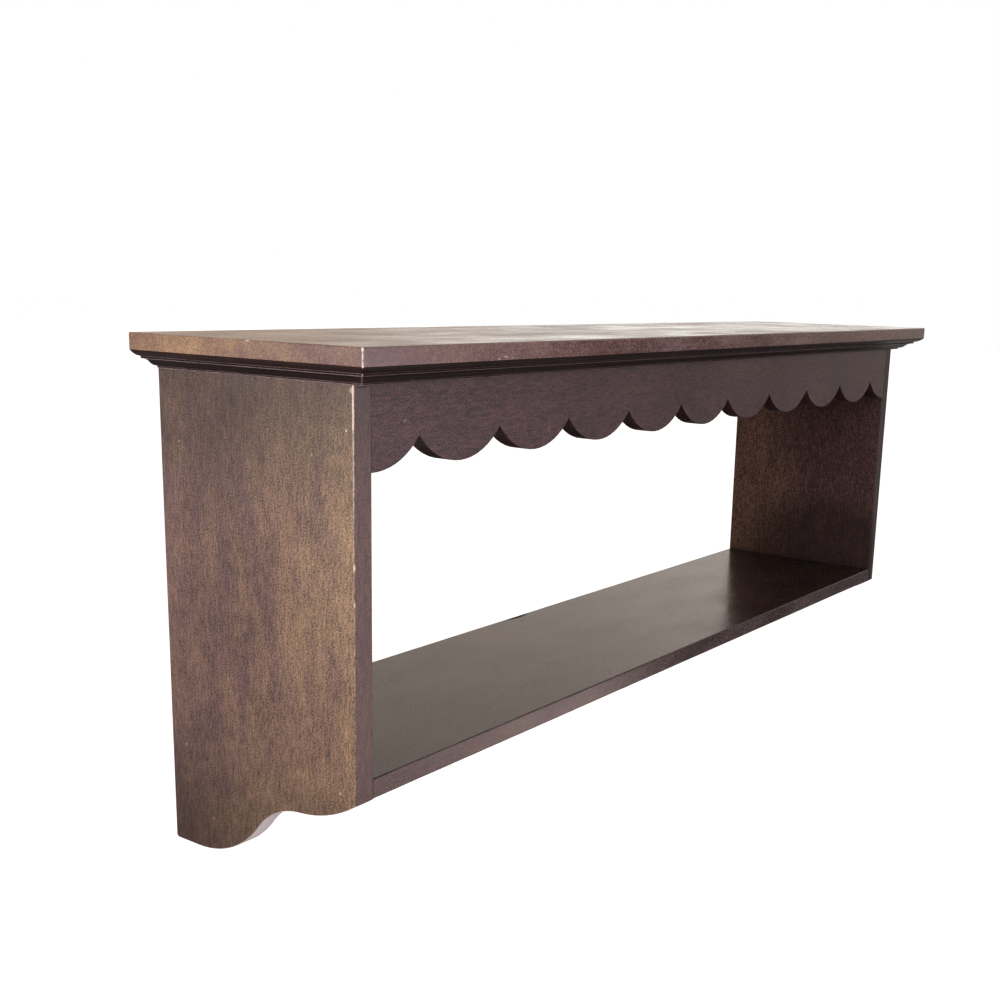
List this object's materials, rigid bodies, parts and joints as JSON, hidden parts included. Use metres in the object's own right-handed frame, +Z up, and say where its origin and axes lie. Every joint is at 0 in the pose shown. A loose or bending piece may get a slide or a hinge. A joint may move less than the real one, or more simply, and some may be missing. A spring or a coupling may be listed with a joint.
{
  "type": "wall shelf",
  "caption": "dark stained wooden wall shelf: overhanging moulded top, scalloped apron, lower shelf between side panels with S-curved feet, screwed to a wall through a rear rail",
  "frame": {"origin": "midway between the two wall screw holes, on the back face of the hanging rail, which is the wall plane", "axes": "+X along the shelf to the right of someone facing it, +Y into the wall, +Z up; the shelf stands out of the wall towards -Y"},
  "size_m": [1.0506, 0.2415, 0.4178],
  "materials": {
    "stained_wood": "dark walnut stain under satin lacquer, worn pale along the front edges",
    "beech_dowel": "bare beech",
    "softwood_block": "bare softwood, sawn",
    "steel_screw": "bright zinc plating"
  },
  "bodies": {
    "root": {"top_board": "stained_wood", "cornice_front": "stained_wood", "cornice_left": "stained_wood", "cornice_right": "stained_wood", "left_side_panel": "stained_wood", "right_side_panel": "stained_wood", "lower_shelf": "stained_wood", "scalloped_apron": "stained_wood", "hanging_rail": "stained_wood", "frame_rear_member": "stained_wood", "shelf_dowels_left": "beech_dowel", "shelf_dowels_right": "beech_dowel", "apron_dowels_left": "beech_dowel", "apron_dowels_right": "beech_dowel", "rail_dowels_left": "beech_dowel", "rail_dowels_right": "beech_dowel", "front_glue_block_1": "softwood_block", "front_glue_block_2": "softwood_block", "front_glue_block_3": "softwood_block", "rear_glue_block_1": "softwood_block", "rear_glue_block_2": "softwood_block", "rear_glue_block_3": "softwood_block", "frame_screws": "steel_screw", "top_screws": "steel_screw"}
  },
  "joints": []
}
